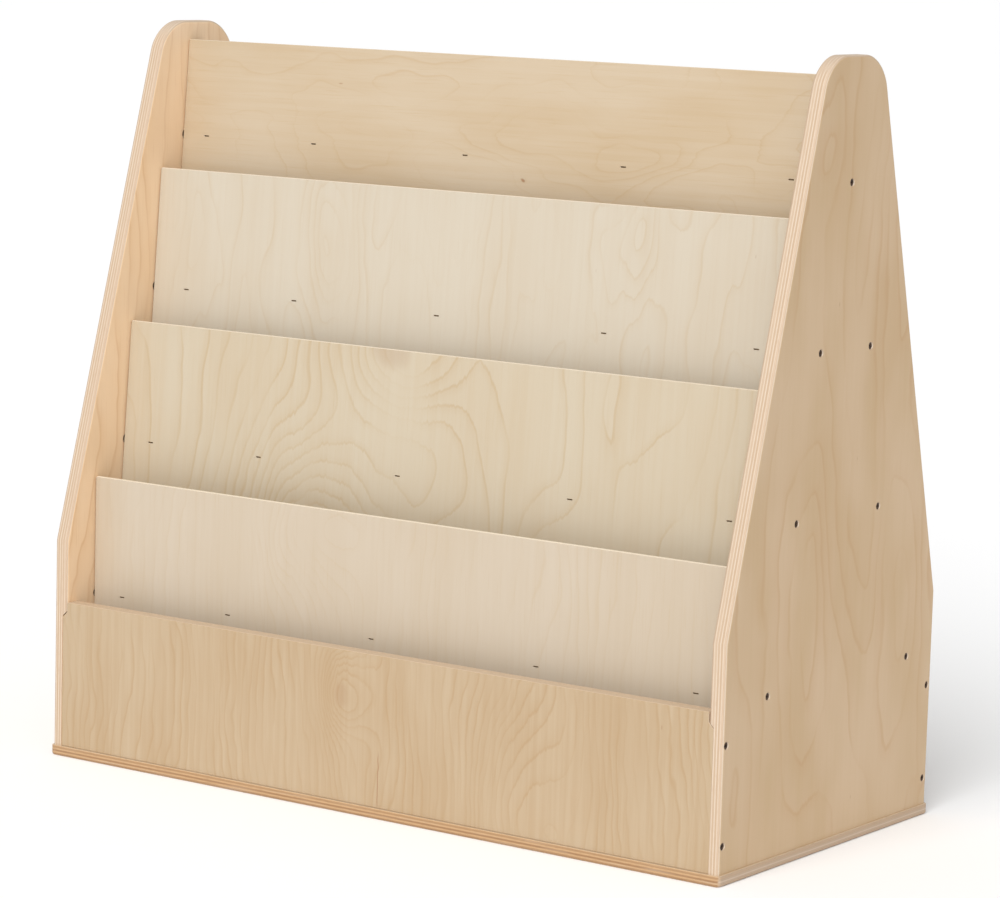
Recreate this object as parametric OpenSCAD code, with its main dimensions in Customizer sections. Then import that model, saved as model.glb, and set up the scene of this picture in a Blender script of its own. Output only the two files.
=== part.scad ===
// Double-sided book display stand, all birch plywood.
// Two solid sides stand on a base board and carry a top rail and three shelves in
// stopped grooves. Thin display panels are stapled to the edges of the rail and the
// shelves, four to a face, and a thick lip board closes the lowest pocket of each face.
// X runs along the stand, -Y is the front, Z is up, and the base stands on Z = 0.

/* [Stand] */
// Length of the stand over the outside of the two sides
stand_length = 914; // [700:1:1200]
// Front to rear measure of a side at its foot
stand_depth = 436; // [420:1:500]
// Height of the crown of the sides above the floor
stand_height = 850; // [845:1:900]
// Height at which the edges of a side start to lean in
knee_height = 254; // [200:1:300]
// Front to rear measure of a side at its crown, before the corners are rounded
crown_depth = 112; // [110:1:140]
// Radius of the rounded crown corners
crown_radius = 46; // [20:1:60]

/* [Boards] */
// Thickness of the two sides
side_thickness = 18; // [16:0.5:22]
// Thickness of the front and rear lip boards
lip_thickness = 18; // [14:0.5:20]
// Thickness of the shelves and of the top rail
shelf_thickness = 12; // [10:0.5:15]
// Thickness of the display panels
panel_thickness = 6; // [5:0.5:7]
// Thickness of the base board
base_thickness = 12; // [9:0.5:18]
// How far the base board stands out past the sides and the lip boards
base_overhang = 2.5; // [0:0.5:6]
// Radius of the base board's four corners in plan
base_corner = 6; // [3:0.5:12]

/* [Pockets] */
// Height of the top rail's middle, where the top panels are stapled
rail_height = 717; // [712:0.5:724]
// Drop from each row of staples to the one below
pocket_rise = 176.5; // [174:0.5:178]
// Step outwards from each panel to the one below, along the staple rows
pocket_step = 49; // [44:0.5:49]
// Distance from the stand's middle to the face of a top panel at its staples
rail_reach = 25; // [22:0.5:28]
// Lean of the upper three panels of each face, in degrees
panel_lean = 4; // [0:0.5:5]
// Height of an upper or middle panel above its row of staples
panel_rise = 139.5; // [100:0.5:150]
// Height of a lower panel above its row of staples
lower_panel_rise = 137.5; // [100:0.5:150]
// Height of the front top panel above its row of staples
top_panel_rise = 112; // [80:0.5:118]
// How much lower the rear top panel stops
rear_top_drop = 3; // [0:0.5:10]
// Gap left between each end of a panel and the side
panel_gap = 1.2; // [0.5:0.1:3]
// Height of the lip boards' top edge above the floor
lip_height = 182; // [160:1:195]

/* [Joints] */
// Depth of the grooves and rebates cut in the inner face of a side
joint_depth = 6; // [3:0.5:8]
// Drop from a lip board's top edge to its shoulders
shoulder_drop = 11; // [8:0.5:20]
// Clearance between a lip board's shoulder and the end of its rebate
shoulder_gap = 1; // [0.5:0.1:3]
// Clearance between a lip board's ears and the inner faces of the sides
ear_gap = 0.4; // [0.2:0.1:1]

/* [Fasteners] */
// Diameter of a screw's head
head_diameter = 7.6; // [6:0.1:9]
// Diameter of a screw's shank
shank_diameter = 4; // [3:0.1:4.5]
// Length of a screw
screw_length = 42; // [30:1:50]
// How far the screw heads are sunk below the wood
screw_sink = 1; // [0.5:0.1:2]
// Width of a staple's crown
staple_crown = 6.8; // [5:0.1:9]
// Thickness of the staple wire
staple_wire = 1.2; // [0.8:0.1:1.6]
// Length of a staple's legs
staple_leg = 20; // [12:1:24]
// How far the staples are sunk below the panel's face
staple_sink = 0.4; // [0.2:0.1:1]

/* [Hidden] */

$fn = 48;

// Levels of the rail and the shelves, from the top down
RAIL = 0;
UPPER = 1;
MIDDLE = 2;
LOWER = 3;
LEVELS = [RAIL, UPPER, MIDDLE, LOWER];
FACES = [0, 180];

side_birch = [0.86, 0.73, 0.58];
panel_birch = [0.90, 0.82, 0.70];
shelf_birch = [0.84, 0.72, 0.55];
base_birch = [0.76, 0.62, 0.45];
screw_brown = [0.28, 0.20, 0.14];
staple_brown = [0.36, 0.28, 0.20];

half_length = stand_length / 2;
half_depth = stand_depth / 2;
half_crown = crown_depth / 2;
inner_half = half_length - side_thickness;
joint_half = inner_half + joint_depth;
panel_length = 2 * (inner_half - panel_gap);

// The crown's corner arcs touch the leaning edges and the flat top
edge_lean = atan((half_depth - half_crown) / (stand_height - knee_height));
crown_tangent = crown_radius * tan((90 - edge_lean) / 2);
crown_y = half_crown - crown_tangent;
crown_z = stand_height - crown_radius;

// Screws through a side into the rail and the shelves, by level: places along Y
level_screws = [[-2], [-52.5, 51.5], [-88, 82.5], [-133, 160]];
// Screws through a side into the lip boards: places along Y, and heights
front_screw_inset = 6.5;
rear_screw_inset = 8.5;
lip_screws_y = [front_screw_inset - half_depth, half_depth - rear_screw_inset];
lip_screws_z = [42, 148];
// Screws up through the base: along Y into the sides, and along X into the lip boards
base_screws_y = [-150, 0, 150];
base_screws_x = [-330, -110, 110, 330];
// Staples along each panel, a little uneven, as they are driven by hand
staple_places = [
    [-402, -243, -28, 184, 396],
    [-388, -228, -26, 198, 391],
    [-397, -236, -38, 194, 396],
    [-395, -237, -32, 190, 393]
];

head_height = 3;
sink_clearance = 0.2;
bore_clearance = 0.05;
point_length = 6;
point_diameter = 0.8;
drive_width = 1.1;
drive_span = 4.2;
drive_depth = 1.6;
recess_margin = 0.2;
past = 1;

function level_z(i) = rail_height - i * pocket_rise;
function face_y(i) = rail_reach + i * pocket_step;
function lean(i) = (i == LOWER) ? 0 : panel_lean;
function shelf_top(i) = (i > LOWER) ? base_thickness : level_z(i) + shelf_thickness / 2;
// Distance from the stand's middle to the back of a panel, at height z
function back_reach(i, z) =
    face_y(i) - panel_thickness / cos(lean(i)) - (z - level_z(i)) * tan(lean(i));
// Length of a panel below its staples, down to the shelf or the base under it
function below(i) =
    (level_z(i) - shelf_top(i + 1) - panel_thickness * sin(lean(i))) / cos(lean(i));

// Puts its children in a panel's own frame: its origin on the panel's face at the
// staples, Z up along the panel and Y into the stand
module at_panel(i, turn) {
    rotate([0, 0, turn])
        translate([0, -face_y(i), level_z(i)])
            rotate([-lean(i), 0, 0])
                children();
}

// Extrudes an outline drawn in Y and Z along X, from x1 to x2
module along_x(x1, x2) {
    translate([x1, 0, 0])
        rotate([90, 0, 90])
            linear_extrude(x2 - x1)
                children();
}

// Outline of a side: upright below the knee, leaning in above it, round at the crown
module side_outline() {
    reach_y = crown_y + crown_radius * cos(edge_lean);
    reach_z = crown_z + crown_radius * sin(edge_lean);
    polygon([
        [-half_depth, base_thickness], [half_depth, base_thickness],
        [half_depth, knee_height], [reach_y, reach_z], [crown_y, crown_z],
        [crown_y, stand_height], [-crown_y, stand_height],
        [-crown_y, crown_z], [-reach_y, reach_z], [-half_depth, knee_height]
    ]);
    for (s = [-1, 1])
        translate([s * crown_y, crown_z])
            circle(r = crown_radius, $fn = 96);
}

// A stopped groove for the rail or a shelf. Its round ends run on past the shelf
module groove_outline(i) {
    reach = back_reach(i, level_z(i) - shelf_thickness / 2);
    translate([-reach, level_z(i) - shelf_thickness / 2])
        square([2 * reach, shelf_thickness]);
    for (s = [-1, 1])
        translate([s * reach, level_z(i)])
            circle(d = shelf_thickness);
}

// A lip board seen from the front: at each end a shoulder slopes up to a shorter ear
module lip_outline() {
    ear = inner_half - ear_gap;
    ear_z = lip_height - shoulder_drop;
    shoulder_z = ear_z - joint_depth;
    polygon([
        [-joint_half, base_thickness], [joint_half, base_thickness],
        [joint_half, shoulder_z], [ear, ear_z], [ear, lip_height],
        [-ear, lip_height], [-ear, ear_z], [-joint_half, shoulder_z]
    ]);
}

// A rebate for a lip board's end, open to the front edge of the side
module lip_rebate() {
    end_z = lip_height - shoulder_drop + shoulder_gap;
    translate([0, lip_thickness - half_depth, 0])
        rotate([90, 0, 0])
            linear_extrude(lip_thickness + past)
                polygon([
                    [inner_half - past, base_thickness - past],
                    [joint_half, base_thickness - past],
                    [joint_half, end_z - joint_depth], [inner_half, end_z],
                    [inner_half - past, end_z]
                ]);
}

// A countersunk wood screw along -Z. Its head faces +Z and lies just under Z = 0
module screw() {
    translate([0, 0, -screw_sink])
        difference() {
            union() {
                translate([0, 0, -head_height])
                    cylinder(h = head_height, d1 = shank_diameter, d2 = head_diameter);
                translate([0, 0, point_length - screw_length])
                    cylinder(h = screw_length - point_length - head_height, d = shank_diameter);
                translate([0, 0, -screw_length])
                    cylinder(h = point_length, d1 = point_diameter, d2 = shank_diameter);
            }
            for (a = [0, 90])
                rotate([0, 0, a])
                    translate([-drive_span / 2, -drive_width / 2, -drive_depth])
                        cube([drive_span, drive_width, drive_depth + past]);
        }
}

// The hole that a screw fills: a sunk mouth, a countersink and a close bore
module screw_hole() {
    hole = shank_diameter + 2 * bore_clearance;
    mouth = head_diameter + 2 * sink_clearance;
    translate([0, 0, -screw_sink])
        cylinder(h = screw_sink + past, d = mouth);
    translate([0, 0, -screw_sink - head_height - bore_clearance])
        cylinder(h = head_height + bore_clearance, d1 = hole, d2 = mouth);
    translate([0, 0, -screw_sink - screw_length - past])
        cylinder(h = screw_length + past, d = hole);
}

// Every place on the right side where a screw goes in, with -Z pointing into the stand
module at_side_screws() {
    for (i = LEVELS)
        for (y = level_screws[i])
            translate([half_length, y, level_z(i)])
                rotate([0, 90, 0])
                    children();
    for (y = lip_screws_y)
        for (z = lip_screws_z)
            translate([half_length, y, z])
                rotate([0, 90, 0])
                    children();
}

// Every place under the base where a screw goes up into a side or a lip board
module at_base_screws() {
    for (s = [-1, 1])
        for (y = base_screws_y)
            translate([s * (half_length - side_thickness / 2), y, 0])
                rotate([180, 0, 0])
                    children();
    for (s = [-1, 1])
        for (x = base_screws_x)
            translate([x, s * (half_depth - lip_thickness / 2), 0])
                rotate([180, 0, 0])
                    children();
}

// A staple in a panel's frame, its crown just under the face and its legs along +Y
module staple() {
    translate([-staple_crown / 2, staple_sink, -staple_wire / 2])
        cube([staple_crown, staple_wire, staple_wire]);
    for (s = [-1, 1])
        translate([s * (staple_crown - staple_wire) / 2 - staple_wire / 2, staple_sink, -staple_wire / 2])
            cube([staple_wire, staple_leg, staple_wire]);
}

// The hole that a staple fills: a shallow dent for the crown and a slot for each leg
module staple_hole() {
    dent_x = staple_crown + 2 * recess_margin;
    dent_z = staple_wire + 2 * recess_margin;
    slot = staple_wire + 2 * bore_clearance;
    translate([-dent_x / 2, -past, -dent_z / 2])
        cube([dent_x, past + staple_sink + staple_wire, dent_z]);
    for (s = [-1, 1])
        translate([s * (staple_crown - staple_wire) / 2 - slot / 2, 0, -slot / 2])
            cube([slot, staple_sink + staple_leg + past, slot]);
}

// Every staple place on one panel
module at_staples(i, turn) {
    at_panel(i, turn)
        for (x = staple_places[i])
            translate([x, 0, 0])
                children();
}

// The right side. The left side is the same piece turned round
module side() {
    color(side_birch)
        difference() {
            along_x(inner_half, half_length)
                side_outline();
            for (i = LEVELS)
                along_x(inner_half - past, joint_half)
                    groove_outline(i);
            lip_rebate();
            mirror([0, 1, 0])
                lip_rebate();
            at_side_screws()
                screw_hole();
            at_base_screws()
                screw_hole();
        }
}

// The top rail or a shelf, let into both sides, its long edges sloped to the panels
module shelf(i) {
    low = level_z(i) - shelf_thickness / 2;
    high = level_z(i) + shelf_thickness / 2;
    color(shelf_birch)
        difference() {
            along_x(-joint_half, joint_half)
                polygon([
                    [-back_reach(i, low), low], [back_reach(i, low), low],
                    [back_reach(i, high), high], [-back_reach(i, high), high]
                ]);
            for (turn = FACES) {
                rotate([0, 0, turn])
                    at_side_screws()
                        screw_hole();
                at_staples(i, turn)
                    staple_hole();
            }
        }
}

// A display panel, stapled at its row and standing on the shelf below it
module panel(i, turn) {
    top_rise = top_panel_rise - (turn == 0 ? 0 : rear_top_drop);
    rise = (i == RAIL) ? top_rise : (i == LOWER) ? lower_panel_rise : panel_rise;
    color(panel_birch)
        difference() {
            at_panel(i, turn)
                translate([-panel_length / 2, 0, -below(i)])
                    cube([panel_length, panel_thickness, below(i) + rise]);
            at_staples(i, turn)
                staple_hole();
        }
}

// A lip board, flush with the upright edges of the sides
module lip_board(turn) {
    color(side_birch)
        difference() {
            rotate([0, 0, turn])
                translate([0, lip_thickness - half_depth, 0])
                    rotate([90, 0, 0])
                        linear_extrude(lip_thickness)
                            lip_outline();
            for (end = FACES)
                rotate([0, 0, end])
                    at_side_screws()
                        screw_hole();
            at_base_screws()
                screw_hole();
        }
}

// The base board, a little larger than all that stands on it
module base_board() {
    reach_x = half_length + base_overhang;
    reach_y = half_depth + base_overhang;
    color(base_birch)
        difference() {
            linear_extrude(base_thickness) {
                square([2 * (reach_x - base_corner), 2 * reach_y], center = true);
                square([2 * reach_x, 2 * (reach_y - base_corner)], center = true);
                for (sx = [-1, 1])
                    for (sy = [-1, 1])
                        translate([sx * (reach_x - base_corner), sy * (reach_y - base_corner)])
                            circle(r = base_corner);
            }
            at_base_screws()
                screw_hole();
        }
}

module side_screws(turn) {
    color(screw_brown)
        rotate([0, 0, turn])
            at_side_screws()
                screw();
}

module base_screws() {
    color(screw_brown)
        at_base_screws()
            screw();
}

module staples(turn) {
    color(staple_brown)
        for (i = LEVELS)
            at_staples(i, turn)
                staple();
}

rotate([0, 0, 180]) side();  // left_side
side();  // right_side
base_board();
lip_board(0);  // front_lip_board
lip_board(180);  // rear_lip_board
shelf(RAIL);  // top_rail
shelf(UPPER);  // upper_shelf
shelf(MIDDLE);  // middle_shelf
shelf(LOWER);  // lower_shelf
panel(RAIL, 0);  // front_top_panel
panel(UPPER, 0);  // front_upper_panel
panel(MIDDLE, 0);  // front_middle_panel
panel(LOWER, 0);  // front_lower_panel
panel(RAIL, 180);  // rear_top_panel
panel(UPPER, 180);  // rear_upper_panel
panel(MIDDLE, 180);  // rear_middle_panel
panel(LOWER, 180);  // rear_lower_panel
side_screws(180);  // left_side_screws
side_screws(0);  // right_side_screws
base_screws();
staples(0);  // front_staples
staples(180);  // rear_staples
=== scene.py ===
"""Double-sided birch book display stand: every board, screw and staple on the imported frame."""

import logging
import math
from collections.abc import Callable, Iterable
from dataclasses import dataclass, field, replace
from enum import Enum

import bpy
from mathutils import Matrix, Quaternion, Vector


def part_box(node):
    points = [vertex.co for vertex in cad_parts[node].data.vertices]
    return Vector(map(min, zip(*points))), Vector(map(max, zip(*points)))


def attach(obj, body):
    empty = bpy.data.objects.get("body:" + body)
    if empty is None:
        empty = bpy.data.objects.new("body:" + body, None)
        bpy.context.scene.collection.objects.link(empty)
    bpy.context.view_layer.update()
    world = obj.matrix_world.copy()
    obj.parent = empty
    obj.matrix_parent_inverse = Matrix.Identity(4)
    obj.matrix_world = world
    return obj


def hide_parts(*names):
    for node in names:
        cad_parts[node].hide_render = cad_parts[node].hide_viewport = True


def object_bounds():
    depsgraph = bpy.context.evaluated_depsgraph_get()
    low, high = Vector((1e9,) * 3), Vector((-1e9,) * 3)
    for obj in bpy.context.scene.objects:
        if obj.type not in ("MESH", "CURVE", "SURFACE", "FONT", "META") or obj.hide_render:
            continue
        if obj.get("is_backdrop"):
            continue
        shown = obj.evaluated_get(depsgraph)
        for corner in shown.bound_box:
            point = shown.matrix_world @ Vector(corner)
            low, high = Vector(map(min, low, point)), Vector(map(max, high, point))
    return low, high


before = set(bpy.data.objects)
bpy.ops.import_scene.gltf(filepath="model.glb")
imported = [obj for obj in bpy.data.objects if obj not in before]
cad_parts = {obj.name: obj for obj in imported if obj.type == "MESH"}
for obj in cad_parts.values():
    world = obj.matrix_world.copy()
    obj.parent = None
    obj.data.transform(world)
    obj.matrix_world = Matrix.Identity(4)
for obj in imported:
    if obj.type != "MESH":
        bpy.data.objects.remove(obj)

log = logging.getLogger("book_stand")

Colour = tuple[float, float, float, float]
Value = float | tuple | bpy.types.NodeSocket

MM = 0.001
HAIR = 0.01 * MM
BODY = "root"
X_AXIS = Vector((1, 0, 0))
Y_AXIS = Vector((0, 1, 0))
Z_AXIS = Vector((0, 0, 1))

# How many patches a metre each pattern of the wood has, across and along the grain
FIBRE = (620.0, 16.0)
STREAKS = (150.0, 4.0)
WARM_PATCHES = (11.0, 5.0)
WORN_RINGS = (16.0, 4.0)
SWAY = (13.0, 6.0)
FEATHER = (330.0, 9.0)
GLUE_WANDER = (7.0, 7.0)
FLECKS = (60.0, 17.0)
CHECK_WANDER = (3.0, 60.0)
END_CELLS = (900.0, 120.0)
END_SHADES = (300.0, 14.0)
# How far apart the ring height is taken to tell its slope, and the least slope, in rings a metre
RING_STEP = 1.5 * MM
LEAST_SLOPE = 4.0
# How a hairline crack wanders, and how far in from its two ends it fades
CHECK_STRAY = 3 * MM
CHECK_BEGIN = 5 * MM
CHECK_END = 12 * MM
# The colour of the film of glue between two plies
GLUE_FILM = "8e6c4a"


def paint(code: str) -> Colour:
    """Turns a red, green and blue code into a linear colour.

    Args:
        code: six hexadecimal digits, two for each of red, green and blue.

    Returns:
        The linear colour, opaque.
    """
    parts = [int(code[i : i + 2], 16) / 255 for i in (0, 2, 4)]
    linear = [p / 12.92 if p <= 0.04045 else ((p + 0.055) / 1.055) ** 2.4 for p in parts]
    return (linear[0], linear[1], linear[2], 1.0)


# ---------------------------------------------------------------- the bench


class Workpiece:
    """A mesh object under way on the bench, shaped with the modelling tools."""

    def __init__(self, obj: bpy.types.Object) -> None:
        """Takes an object in hand."""
        self.obj = obj

    @classmethod
    def _take(cls, name: str) -> "Workpiece":
        """Takes the newly added primitive in hand, its place moved into its mesh."""
        bpy.ops.object.transform_apply(location=True, rotation=True, scale=True)
        made = bpy.context.active_object
        made.name = made.data.name = name
        return cls(made)

    @classmethod
    def block(cls, name: str, low: Vector, high: Vector, tilt: float = 0.0) -> "Workpiece":
        """Saws a square block.

        Args:
            name: the name of the piece.
            low: one corner before it is tilted.
            high: the opposite corner.
            tilt: turn about X through its own middle, in radians.

        Returns:
            The block.
        """
        clear_bench()
        size = Vector(map(abs, high - low))
        bpy.ops.mesh.primitive_cube_add(
            size=1, location=(low + high) / 2, rotation=(tilt, 0, 0), scale=size
        )
        return cls._take(name)

    @classmethod
    def rod(cls, name: str, radius: float, depth: float, sides: int = 32) -> "Workpiece":
        """Turns a rod that stands with its top at the origin, pointing down.

        Args:
            name: the name of the piece.
            radius: its radius.
            depth: its length.
            sides: how many sides the round has.

        Returns:
            The rod.
        """
        clear_bench()
        bpy.ops.mesh.primitive_cylinder_add(
            vertices=sides, radius=radius, depth=depth, location=(0, 0, -depth / 2)
        )
        return cls._take(name)

    def hold(self) -> None:
        """Makes this the only selected object, in object mode."""
        clear_bench()
        self.obj.select_set(True)
        bpy.context.view_layer.objects.active = self.obj

    def _pick(self, mode: tuple[bool, bool, bool]) -> bpy.types.Mesh:
        """Deselects the whole mesh and sets what kind of part is picked."""
        self.hold()
        mesh = self.obj.data
        for parts in (mesh.vertices, mesh.edges, mesh.polygons):
            parts.foreach_set("select", [False] * len(parts))
        bpy.context.tool_settings.mesh_select_mode = mode
        return mesh

    def pick_edges(self, test: Callable[[Vector, Vector], bool]) -> "Workpiece":
        """Picks edges, ready for a tool.

        Args:
            test: says of an edge's two ends whether it is picked.

        Returns:
            This piece, in edit mode.
        """
        mesh = self._pick((False, True, False))
        for edge in mesh.edges:
            ends = [mesh.vertices[i] for i in edge.vertices]
            if test(ends[0].co, ends[1].co):
                edge.select = ends[0].select = ends[1].select = True
        bpy.ops.object.mode_set(mode="EDIT")
        return self

    def pick_faces(self, test: Callable[[Vector, Vector], bool]) -> "Workpiece":
        """Picks faces, ready for a tool.

        Args:
            test: says of a face's middle and normal whether it is picked.

        Returns:
            This piece, in edit mode.
        """
        mesh = self._pick((False, False, True))
        for face in mesh.polygons:
            if test(face.center, face.normal):
                face.select = True
                for i in face.vertices:
                    mesh.vertices[i].select = True
        bpy.ops.object.mode_set(mode="EDIT")
        return self

    def round_picked(self, width: float, segments: int) -> None:
        """Rounds the picked edges."""
        bpy.ops.mesh.bevel(offset=width, segments=segments, profile=0.5, affect="EDGES")
        bpy.ops.object.mode_set(mode="OBJECT")

    def push_picked(self, by: Vector) -> None:
        """Extrudes the picked faces."""
        bpy.ops.mesh.extrude_region_move(TRANSFORM_OT_translate={"value": by})
        bpy.ops.object.mode_set(mode="OBJECT")

    def move_picked(self, by: Vector) -> None:
        """Moves what is picked."""
        bpy.ops.transform.translate(value=by)
        bpy.ops.object.mode_set(mode="OBJECT")

    def widen_picked(self, factor: float, about: Vector) -> None:
        """Scales what is picked across X and Y, about a point."""
        bpy.ops.transform.resize(value=(factor, factor, 1), center_override=about)
        bpy.ops.object.mode_set(mode="OBJECT")

    def saw(self, point: Vector, normal: Vector, keep_both: bool = False) -> "Workpiece":
        """Saws along a plane.

        Args:
            point: a point of the cut.
            normal: points to the waste.
            keep_both: only marks a line round the piece, and keeps the waste.

        Returns:
            This piece.
        """
        self.hold()
        bpy.ops.object.mode_set(mode="EDIT")
        bpy.ops.mesh.select_all(action="SELECT")
        bpy.ops.mesh.bisect(
            plane_co=point, plane_no=normal, use_fill=not keep_both, clear_outer=not keep_both
        )
        bpy.ops.object.mode_set(mode="OBJECT")
        return self

    def _apply(self, kind: str, **settings: object) -> None:
        """Adds a modifier with these settings and applies it."""
        self.hold()
        modifier = self.obj.modifiers.new(kind.lower(), kind)
        for name, value in settings.items():
            setattr(modifier, name, value)
        bpy.ops.object.modifier_apply(modifier=modifier.name)

    def ease(self, width: float, segments: int = 2) -> "Workpiece":
        """Takes the sharpness off every arris."""
        self._apply("BEVEL", width=width, segments=segments, limit_method="ANGLE")
        return self

    def cut(self, *tools: "Workpiece") -> "Workpiece":
        """Cuts these tools' shapes away, and throws the tools out."""
        for tool in tools:
            self._apply("BOOLEAN", operation="DIFFERENCE", solver="EXACT", object=tool.obj)
            tool.discard()
        return self

    def copies(self, places: Iterable[Matrix]) -> "Workpiece":
        """Copies this piece to each place, and joins the copies.

        Args:
            places: where each copy goes.

        Returns:
            The joined copies. This piece itself is thrown out.
        """
        made = []
        for place in places:
            twin = self.obj.copy()
            twin.data = self.obj.data.copy()
            twin.data.transform(place)
            bpy.context.collection.objects.link(twin)
            made.append(twin)
        name = self.obj.name
        self.discard()
        clear_bench()
        for twin in made:
            twin.select_set(True)
        bpy.context.view_layer.objects.active = made[0]
        bpy.ops.object.join()
        made[0].name = made[0].data.name = name
        return Workpiece(made[0])

    def discard(self) -> None:
        """Throws this piece out."""
        mesh = self.obj.data
        bpy.data.objects.remove(self.obj)
        bpy.data.meshes.remove(mesh)

    def sand(self, angle: float = 35.0) -> "Workpiece":
        """Shades the rounds smooth and keeps the flats flat."""
        self.hold()
        bpy.ops.object.shade_smooth_by_angle(angle=math.radians(angle))
        self._apply("WEIGHTED_NORMAL", mode="FACE_AREA", keep_sharp=True)
        return self

    def install(self, material: bpy.types.Material, slot: str, *nodes: str) -> None:
        """Dresses the finished piece and puts it on the stand.

        Args:
            material: its finish.
            slot: the name of the material slot that the finish belongs to, which is logged.
            nodes: the frame's nodes that it stands for.
        """
        self.obj.name = self.obj.data.name = nodes[0] + "_piece"
        self.obj.data.materials.clear()
        self.obj.data.materials.append(material)
        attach(self.obj, BODY)
        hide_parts(*nodes)
        log.info("%s: %d faces, finish %s", self.obj.name, len(self.obj.data.polygons), slot)


def middle_of(node: str) -> Vector:
    """Gives the middle of a node's box."""
    low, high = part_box(node)
    return (low + high) / 2


def clear_bench() -> None:
    """Leaves edit mode and deselects everything."""
    active = bpy.context.view_layer.objects.active
    if active is not None and active.mode != "OBJECT":
        bpy.ops.object.mode_set(mode="OBJECT")
    bpy.ops.object.select_all(action="DESELECT")


def loose_parts(node: str) -> list[tuple[Vector, Vector]]:
    """Finds the separate solids of one of the frame's nodes.

    Args:
        node: the name of the node.

    Returns:
        The lowest and highest corner of each solid, sorted.
    """
    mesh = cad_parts[node].data
    spots = [tuple(round(c / HAIR) for c in v.co) for v in mesh.vertices]
    leader = {spot: spot for spot in spots}

    def find(spot: tuple) -> tuple:
        """Follows a corner to the one that stands for its whole solid."""
        while leader[spot] != spot:
            leader[spot] = leader[leader[spot]]
            spot = leader[spot]
        return spot

    for face in mesh.polygons:
        first, *others = (spots[i] for i in face.vertices)
        for other in others:
            leader[find(other)] = find(first)
    solids: dict[tuple, list[tuple]] = {}
    for spot in leader:
        solids.setdefault(find(spot), []).append(spot)
    boxes = [
        (Vector(map(min, zip(*group))) * HAIR, Vector(map(max, zip(*group))) * HAIR)
        for group in solids.values()
    ]
    return sorted(boxes, key=lambda b: tuple(b[0]))


# ---------------------------------------------------------------- finishes


class Recipe:
    """A material under way, mixed from nodes."""

    def __init__(self, name: str) -> None:
        """Starts an empty material."""
        self.material = bpy.data.materials.new(name)
        self.material.use_nodes = True
        self.tree = self.material.node_tree
        self.tree.nodes.clear()

    def node(self, kind: str, **settings: object) -> bpy.types.Node:
        """Adds a shader node with these settings."""
        made = self.tree.nodes.new("ShaderNode" + kind)
        for name, value in settings.items():
            setattr(made, name, value)
        return made

    def feed(self, socket: bpy.types.NodeSocket, value: Value) -> None:
        """Links a value to a socket, or sets it there."""
        if isinstance(value, bpy.types.NodeSocket):
            self.tree.links.new(value, socket)
        else:
            socket.default_value = value

    def math(self, operation: str, *values: Value, clamp: bool = False) -> bpy.types.NodeSocket:
        """Works out one sum."""
        made = self.node("Math", operation=operation, use_clamp=clamp)
        for socket, value in zip(made.inputs, values):
            self.feed(socket, value)
        return made.outputs[0]

    def fade(self, value: Value, low: float, high: float, to: tuple = (0.0, 1.0)) -> Value:
        """Goes smoothly from to[0] at low to to[1] at high."""
        made = self.node("MapRange", interpolation_type="SMOOTHSTEP")
        for socket, part in zip(made.inputs, (value, low, high, *to)):
            self.feed(socket, part)
        return made.outputs[0]

    def point(self, x: Value, y: Value, z: Value) -> bpy.types.NodeSocket:
        """Makes a point of three values."""
        made = self.node("CombineXYZ")
        for socket, value in zip(made.inputs, (x, y, z)):
            self.feed(socket, value)
        return made.outputs[0]

    def grain(
        self, at: tuple[Value, Value, Value], per_metre: tuple[float, float], detail: float = 2.0
    ) -> bpy.types.NodeSocket:
        """Draws a random pattern that is stretched along the grain.

        Args:
            at: the place across and along the grain, and which pattern it is.
            per_metre: how many patches there are in a metre, across and along.
            detail: how many finer layers there are.

        Returns:
            A value about 0.5, mostly from 0.2 to 0.8.
        """
        across = self.math("MULTIPLY", at[0], per_metre[0])
        along = self.math("MULTIPLY", at[1], per_metre[1])
        made = self.node("TexNoise")
        self.feed(made.inputs["Vector"], self.point(across, along, at[2]))
        made.inputs["Scale"].default_value = 1.0
        made.inputs["Detail"].default_value = detail
        made.inputs["Roughness"].default_value = 0.5
        return made.outputs[0]

    def blend(self, factor: Value, first: Value, second: Value) -> bpy.types.NodeSocket:
        """Blends two colours."""
        made = self.node("Mix", data_type="RGBA", clamp_factor=True)
        for index, value in ((0, factor), (6, first), (7, second)):
            self.feed(made.inputs[index], value)
        return made.outputs[2]

    def finish(self, sockets: dict[str, Value]) -> bpy.types.Material:
        """Feeds the surface shader and ends the material."""
        shader = self.node("BsdfPrincipled")
        for name, value in sockets.items():
            self.feed(shader.inputs[name], value)
        output = self.node("OutputMaterial")
        self.tree.links.new(shader.outputs[0], output.inputs["Surface"])
        return self.material


class Grain(Enum):
    """Which way a board's face grain runs."""

    UPRIGHT = "upright"
    ALONG_STAND = "along the stand"


@dataclass(frozen=True)
class Swirl:
    """A place where the rings close round a former branch."""

    across: float
    along: float
    reach_across: float
    reach_along: float
    rings: float
    heart: float = 0.0


@dataclass(frozen=True)
class Check:
    """A hairline crack along the grain of a face veneer."""

    across: float
    low: float
    high: float
    width: float = 0.9 * MM


@dataclass(frozen=True)
class Figure:
    """How the growth rings show on a board's face."""

    seed: float = 0.0
    rings: float = 12.0
    rings_per_metre: float = 0.0
    loops_across: float = 6.0
    loops_along: float = 1.7
    line_strength: float = 0.5
    line_width: float = 4.5 * MM
    sway: float = 0.05
    feather: float = 8 * MM
    patches: float = 0.35
    streaks: float = 0.15
    fibre: float = 0.3
    swirls: tuple[Swirl, ...] = ()
    checks: tuple[Check, ...] = ()


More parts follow.
